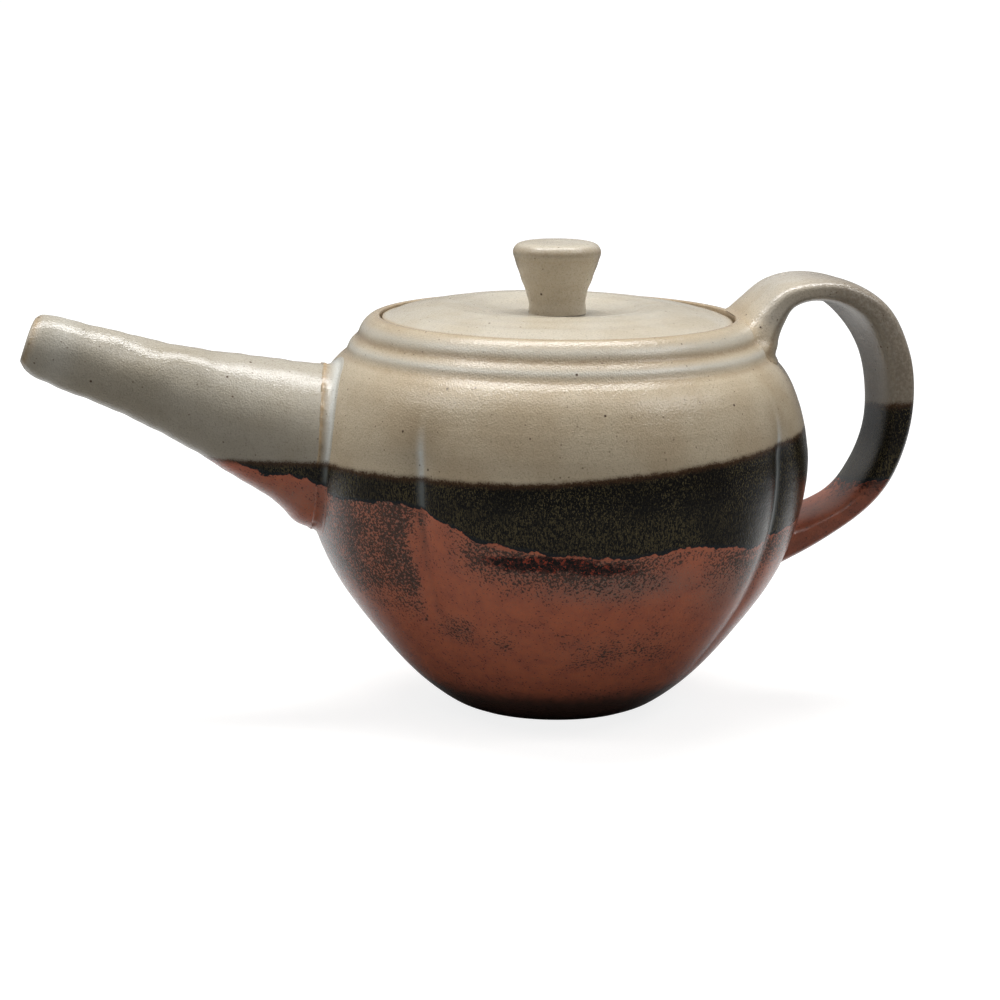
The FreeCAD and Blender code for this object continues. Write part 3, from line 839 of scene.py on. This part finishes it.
class Shader:
    """Short names for the nodes of a material or a world."""

    def __init__(self, owner):
        self.owner = owner
        owner.use_nodes = True
        self.tree = owner.node_tree
        self.tree.nodes.clear()

    def node(self, kind, **settings):
        node = self.tree.nodes.new("ShaderNode" + kind)
        for key, value in settings.items():
            setattr(node, key, value)
        return node

    def feed(self, socket, value):
        if hasattr(value, "is_output"):
            self.tree.links.new(value, socket)
        elif socket.type == "RGBA":
            socket.default_value = (*value, 1)
        else:
            socket.default_value = value

    def math(self, operation, a, b, clamp=False):
        node = self.node("Math", operation=operation, use_clamp=clamp)
        self.feed(node.inputs[0], a)
        self.feed(node.inputs[1], b)
        return node.outputs[0]

    def times(self, a, b, clamp=False):
        return self.math("MULTIPLY", a, b, clamp)

    def plus(self, a, b, clamp=False):
        return self.math("ADD", a, b, clamp)

    def sway(self, noise, amount):
        """A noise about its middle, made as wide as an amount."""
        return self.times(self.math("SUBTRACT", noise, 0.5), amount)

    def ramp(self, value, low, high, to_low=0.0, to_high=1.0):
        node = self.node("MapRange", interpolation_type="SMOOTHSTEP")
        for socket, item in zip(node.inputs, (value, low, high, to_low, to_high)):
            self.feed(socket, item)
        return node.outputs[0]

    def mix(self, share, a, b):
        node = self.node("Mix", data_type="RGBA")
        self.feed(node.inputs["Factor"], share)
        self.feed(node.inputs[6], a)
        self.feed(node.inputs[7], b)
        return node.outputs[2]

    def place(self, scale=(1, 1, 1)):
        """Millimetres in the part's frame, stretched by a scale."""
        node = self.node("Mapping")
        self.feed(node.inputs["Vector"], self.node("TexCoord").outputs["Object"])
        node.inputs["Scale"].default_value = [s / MM for s in scale]
        return node.outputs[0]

    def noise(self, scale, detail, roughness, stretch=(1, 1, 1)):
        node = self.node("TexNoise")
        self.feed(node.inputs["Vector"], self.place(stretch))
        node.inputs["Scale"].default_value = scale
        node.inputs["Detail"].default_value = detail
        node.inputs["Roughness"].default_value = roughness
        return node.outputs[0]

    def dots(self, scale, size, share):
        """Round dots on a share of scattered points."""
        cells = self.node("TexVoronoi")
        self.feed(cells.inputs["Vector"], self.place())
        cells.inputs["Scale"].default_value = scale
        pick = self.node("SeparateColor")
        self.feed(pick.inputs[0], cells.outputs["Color"])
        keep = self.math("LESS_THAN", pick.outputs[0], share)
        return self.times(self.ramp(cells.outputs["Distance"], size, size * 0.45), keep)

    def surface(self, colour, roughness, height, depth):
        """The material itself, with a bump of a depth in millimetres."""
        bump = self.node("Bump")
        bump.inputs["Distance"].default_value = depth * MM
        self.feed(bump.inputs["Height"], height)
        shader = self.node("BsdfPrincipled")
        self.feed(shader.inputs["Base Color"], colour)
        self.feed(shader.inputs["Roughness"], roughness)
        self.feed(shader.inputs["Normal"], bump.outputs[0])
        self.feed(self.node("OutputMaterial").inputs[0], shader.outputs[0])
        return self.owner


class Glaze(Shader):
    """A shader with the fields that mark keeps, and the noises that its glazes share."""

    def __init__(self, owner):
        super().__init__(owner)
        for field in ("cream_h", "red_h", "pool", "bare", "speck", "ash", "burnt", "base", "clay", "join"):
            setattr(self, field, self.node("Attribute", attribute_name=field).outputs["Fac"])
        self.fine = self.noise(1.1, 3.0, 0.6)
        self.cloud = self.noise(0.06, 3.0, 0.55)
        self.grain = self.noise(2.3, 3.0, 0.75)


# Each piece's pale glaze: thick, thinner, and thinnest on edges; the last also paints shade in the body's
# grooves
PALE = {
    "body": ((0.58, 0.49, 0.355), (0.51, 0.41, 0.28), (0.33, 0.24, 0.145)),
    "lid": ((0.60, 0.55, 0.455), (0.54, 0.475, 0.365), (0.40, 0.29, 0.17)),
    "spout": ((0.48, 0.44, 0.365), (0.42, 0.375, 0.295), (0.42, 0.29, 0.155)),
    "handle": ((0.58, 0.535, 0.46), (0.50, 0.44, 0.35), (0.185, 0.145, 0.105)),
}
BLUE_WHITE = (0.70, 0.71, 0.67)
IRON = (0.10, 0.065, 0.045)
BLACK = (0.0045, 0.0036, 0.0028)
OLIVE = (0.140, 0.112, 0.050)
RUST = (0.075, 0.035, 0.015)
BLUE_BLACK = (0.012, 0.018, 0.024)
ORANGE = (0.68, 0.192, 0.096)
BRICK = (0.52, 0.150, 0.086)
CRIMSON = (0.10, 0.022, 0.014)
SOOT = (0.050, 0.043, 0.036)
MAUVE = (0.27, 0.19, 0.165)
CLAY = (0.16, 0.10, 0.065)
POOLED_DARK = (0.19, 0.21, 0.21)
DULL_RED = (0.45, 0.16, 0.10)
ASH_GREY = (0.34, 0.27, 0.22)
CHAR = (0.008, 0.004, 0.004)
EMBER = (0.36, 0.055, 0.025)
POOLED_RED = (0.10, 0.07, 0.06)
# Dark brown at the foot, also used as painted shade on the strap's near side and outer face
FOOT_AND_SHADE_BROWN = (0.120, 0.066, 0.053)
INNER_PALE = (0.46, 0.38, 0.28)
INNER_DARK = (0.34, 0.25, 0.16)
PALE_ROUGHNESS = 0.18
DARK_ROUGHNESS = 0.17


def pale_colour(g, full, thin_tint, edge_tint):
    """Pale glaze: warm and cool clouds, fine grain, ochre where thin, bluish where thick; the ochre also
    paints shade in grooves and the bluish white a highlight on the rim's rolls.
    """
    body_full, body_thin, body_edge = PALE["body"]
    thin_here = g.mix(g.join, thin_tint, body_thin)
    pale = g.mix(g.ramp(g.cloud, 0.35, 0.68), g.mix(g.join, full, body_full), thin_here)
    pale = g.mix(g.times(g.ramp(g.fine, 0.42, 0.72), 0.30), pale, thin_here)
    pale = g.mix(g.times(g.ramp(g.grain, 0.48, 0.68), 0.55), pale, tuple(0.55 * v for v in thin_tint))
    # Ochre where the glaze is thin, and painted shade where the field marks grooves
    thin = g.times(g.bare, g.ramp(g.fine, 0.25, 0.65, 0.55, 1.0), clamp=True)
    pale = g.mix(thin, pale, g.mix(g.join, edge_tint, body_edge))
    # Bluish white where the glaze pools, and a painted highlight on the rim's rolls
    thick = g.times(g.pool, g.ramp(g.fine, 0.2, 0.6, 0.7, 1.0), clamp=True)
    pale = g.mix(thick, pale, BLUE_WHITE)
    pale = g.mix(g.dots(0.17, 0.075, 0.60), pale, IRON)
    return g.mix(g.times(g.dots(0.50, 0.15, 0.38), 0.65), pale, IRON)


def dark_colour(g):
    """Dark band: fine olive specks, drawn out downwards in its lower half."""
    olive = g.ramp(g.noise(2.8, 2.0, 0.7, (1, 1, 0.55)), 0.52, 0.62)
    streak = g.ramp(g.noise(2.6, 2.0, 0.6, (1, 1, 0.24)), 0.51, 0.62)
    low = g.ramp(g.red_h, 14.0, 4.0)
    flecks = g.math("MAXIMUM", g.times(olive, 0.8), g.times(streak, g.times(low, 0.7)))
    dark = g.mix(g.times(flecks, g.ramp(g.cloud, 0.3, 0.6, 0.35, 1.0)), BLACK, OLIVE)
    dark = g.mix(g.times(g.pool, 0.85), dark, POOLED_DARK)
    return g.mix(g.times(g.ramp(g.red_h, 1.3, 0.3), 0.85), dark, BLUE_BLACK)


def red_colour(g):
    """Iron red: orange and brick clouds, dark specks in drifts, burnt and ashy patches."""
    red = g.mix(g.ramp(g.noise(0.16, 4.0, 0.7), 0.30, 0.70), ORANGE, BRICK)
    red = g.mix(g.times(g.ramp(g.fine, 0.5, 0.75), 0.35), red, DULL_RED)
    red = g.mix(g.times(g.ash, 0.60), red, MAUVE)
    drift = g.plus(g.speck, g.sway(g.noise(0.16, 3.0, 0.65), 1.1))
    spot = g.ramp(g.plus(g.noise(1.65, 2.0, 0.65), g.times(drift, 0.27)), 0.69, 0.75)
    red = g.mix(g.times(spot, 0.88), red, SOOT)
    flake = g.times(g.ramp(g.noise(2.2, 2.0, 0.7), 0.56, 0.63), g.times(g.ash, 0.75))
    red = g.mix(flake, red, ASH_GREY)
    scorch = g.ramp(g.plus(g.burnt, g.sway(g.noise(0.5, 4.0, 0.75, (1, 1, 1.6)), 1.3)), 0.30, 0.62)
    scorched = g.mix(g.ramp(g.noise(0.9, 3.0, 0.8), 0.46, 0.62), CHAR, CRIMSON)
    scorched = g.mix(g.ramp(g.noise(1.1, 2.0, 0.7), 0.55, 0.62), scorched, EMBER)
    red = g.mix(scorch, red, scorched)
    red = g.mix(g.times(g.pool, 0.4), red, POOLED_RED)
    # Darker brown towards the foot, and painted shade on the strap's near side and outer face
    foot = g.ramp(g.plus(g.base, g.sway(g.noise(0.35, 3.0, 0.6), 0.35)), 0.10, 0.80)
    return g.mix(foot, red, FOOT_AND_SHADE_BROWN)


def make_glaze(name, *tints):
    """The pale glaze ends feathered with rust over the dark band, which ends crisp on the red."""
    g = Glaze(bpy.data.materials.new(name))
    pale, dark, red = pale_colour(g, *tints), dark_colour(g), red_colour(g)
    wander = g.plus(g.sway(g.noise(0.35, 2.0, 0.5), 1.0), g.sway(g.grain, 2.4))
    cream_edge = g.plus(g.cream_h, wander)
    red_edge = g.plus(g.red_h, g.sway(g.noise(0.22, 3.0, 0.6), 4.5))
    colour = g.mix(g.ramp(red_edge, -0.15, 0.15), red, dark)
    colour = g.mix(g.times(g.ramp(cream_edge, -2.2, -0.2), 0.85), colour, RUST)
    colour = g.mix(g.ramp(cream_edge, -0.7, 0.7), colour, pale)
    colour = g.mix(g.clay, colour, CLAY)
    rough = g.ramp(cream_edge, -0.3, 0.3, DARK_ROUGHNESS, PALE_ROUGHNESS)
    rough = g.plus(g.plus(rough, g.sway(g.fine, 0.12)), g.times(g.clay, 0.35), clamp=True)
    peel = g.plus(g.times(g.noise(0.35, 2.0, 0.5), 0.45), g.times(g.noise(2.1, 1.0, 0.5), 0.75))
    return g.surface(colour, rough, peel, 0.13)


def make_inner_clay():
    """Thin matt glaze on the strainer."""
    g = Shader(bpy.data.materials.new("inner_clay"))
    fine = g.noise(1.3, 2.0, 0.6)
    colour = g.mix(g.ramp(g.noise(0.15, 3.0, 0.6), 0.35, 0.7), INNER_PALE, INNER_DARK)
    colour = g.mix(g.times(g.dots(0.35, 0.14, 0.3), 0.7), colour, IRON)
    return g.surface(colour, g.ramp(fine, 0.3, 0.7, 0.45, 0.6), fine, 0.08)


# Assembly

glazes = {name: make_glaze(name + "_stoneware", *tints) for name, tints in PALE.items()}
inner_clay = make_inner_clay()

for maker, nodes, body, slot, glaze in (
    (make_body, BODY_NODES, "pot", "body_glaze", "body"),
    (make_spout, ["spout"], "pot", "pale_glaze", "spout"),
    (make_collar, ["spout_collar"], "pot", "pale_glaze", "spout"),
    (make_handle, ["handle"], "pot", "handle_glaze", "handle"),
    (make_lid, ["lid"], "lid", "pale_glaze", "lid"),
    (make_knob, ["knob"], "lid", "pale_glaze", "lid"),
):
    piece = maker()
    piece.data.materials.clear()
    piece.data.materials.append(glazes[glaze])
    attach(piece, body)
    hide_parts(*nodes)

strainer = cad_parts["strainer"]
for slot in strainer.material_slots:
    slot.material = inner_clay


# Stage, light and camera

FLOOR_HALF = 9000.0
FLOOR_COLOUR = (0.33, 0.325, 0.315)
FLOOR_IN_GLAZE = (0.11, 0.11, 0.11)
POT_MIDDLE = (0, 0, 0.06)
# Softboxes: place, aim, width and height, power
LAMPS = {
    "top_softbox": ((-0.03, 0.17, 1.12), (-0.03, 0.05, 0), (1.10, 0.40), 14.4),
    "front_softbox": ((-0.04, -0.29, 0.68), POT_MIDDLE, (1.15, 0.10), 1.2),
    "left_softbox": ((-0.617, -0.065, 0.68), POT_MIDDLE, (0.46, 0.20), 0.95),
    "right_softbox": ((0.557, -0.272, 0.68), POT_MIDDLE, (0.50, 0.22), 1.25),
}


def make_floor_paper():
    """White paper to the camera; in the glaze it glows only behind the pot, between its sides."""
    g = Shader(bpy.data.materials.new("floor"))
    place = g.node("TexCoord").outputs["Object"]
    far = g.node("VectorMath", operation="LENGTH")
    g.feed(far.inputs[0], place)
    split = g.node("SeparateXYZ")
    g.feed(split.inputs[0], place)
    x, y = split.outputs["X"], split.outputs["Y"]
    paths = g.node("LightPath")
    glossy = paths.outputs["Is Glossy Ray"]
    white = g.node("BsdfDiffuse")
    g.feed(white.inputs["Color"], g.mix(glossy, FLOOR_COLOUR, FLOOR_IN_GLAZE))
    slant = g.plus(y, g.times(x, 0.25))
    behind = g.times(g.ramp(slant, -0.02, 0.08, 0.0, 0.95), g.ramp(y, 0.26, 0.14, 0.12, 1.0))
    beside = g.math("SUBTRACT", g.math("ABSOLUTE", x, 0.0), g.times(y, 0.5))
    mirrored = g.times(glossy, g.times(behind, g.ramp(beside, 0.14, 0.30, 1.0, 0.2)))
    shown = g.math("MAXIMUM", paths.outputs["Is Camera Ray"], mirrored)
    glow = g.node("Emission")
    g.feed(glow.inputs["Color"], (1, 1, 1))
    g.feed(glow.inputs["Strength"], g.times(g.ramp(far.outputs["Value"], 0.15, 1.2, 0.84, 1.0), shown))
    both = g.node("AddShader")
    g.feed(both.inputs[0], white.outputs[0])
    g.feed(both.inputs[1], glow.outputs[0])
    g.feed(g.node("OutputMaterial").inputs[0], both.outputs[0])
    return g.owner


def make_studio():
    """White to the camera, dim in front and brighter behind in the glaze, faint for the rest."""
    g = Shader(bpy.data.worlds.new("studio"))
    paths = g.node("LightPath")
    split = g.node("SeparateXYZ")
    g.feed(split.inputs[0], g.node("TexCoord").outputs["Generated"])
    behind = g.ramp(split.outputs["Y"], -0.35, 0.75, 0.03, 0.32)
    lit = g.math("MAXIMUM", g.times(behind, paths.outputs["Is Glossy Ray"]), 0.10)
    background = g.node("Background")
    g.feed(background.inputs["Color"], (1, 0.985, 0.96))
    g.feed(background.inputs["Strength"], g.math("MAXIMUM", lit, paths.outputs["Is Camera Ray"]))
    g.feed(g.node("OutputWorld").inputs[0], background.outputs[0])
    return g.owner


def softbox(name, place, aim, size, power):
    data = bpy.data.lights.new(name, "AREA")
    data.shape = "RECTANGLE"
    data.size, data.size_y = size
    data.energy = power
    lamp = bpy.data.objects.new(name, data)
    lamp.location = place
    lamp.rotation_euler = (Vector(aim) - Vector(place)).to_track_quat("-Z", "Y").to_euler()
    bpy.context.scene.collection.objects.link(lamp)


corners = np.array([(-1, -1, 0), (1, -1, 0), (1, 1, 0), (-1, 1, 0)])
floor = new_object("floor", corners * FLOOR_HALF, [(0, 1, 2, 3)])
floor.data.materials.append(make_floor_paper())

scene = bpy.context.scene
scene.view_settings.view_transform = "Standard"
scene.world = make_studio()
for name, settings in LAMPS.items():
    softbox(name, *settings)

# Camera: it looks down a little from the front left
CAMERA_AZ = -9.0 * DEG
CAMERA_DOWN = 10.4 * DEG
CAMERA_ROLL = 0.6 * DEG
CAMERA_PLACE = (-0.15814, -0.90705, 0.22237)
CAMERA_LENS = 129.6
level = math.cos(CAMERA_DOWN)
look = Vector((-math.sin(CAMERA_AZ) * level, math.cos(CAMERA_AZ) * level, -math.sin(CAMERA_DOWN)))
right = Vector((math.cos(CAMERA_AZ), math.sin(CAMERA_AZ), 0))
up = right.cross(look)
rolled_right = right * math.cos(CAMERA_ROLL) + up * math.sin(CAMERA_ROLL)
rolled_up = up * math.cos(CAMERA_ROLL) - right * math.sin(CAMERA_ROLL)
turned = Matrix((rolled_right, rolled_up, -look)).transposed().to_4x4()
data = bpy.data.cameras.new("camera")
data.lens = CAMERA_LENS
data.sensor_width = 36.0
data.clip_start, data.clip_end = 0.05, 60
camera = bpy.data.objects.new("camera", data)
camera.matrix_world = Matrix.Translation(CAMERA_PLACE) @ turned
scene.collection.objects.link(camera)
scene.camera = camera
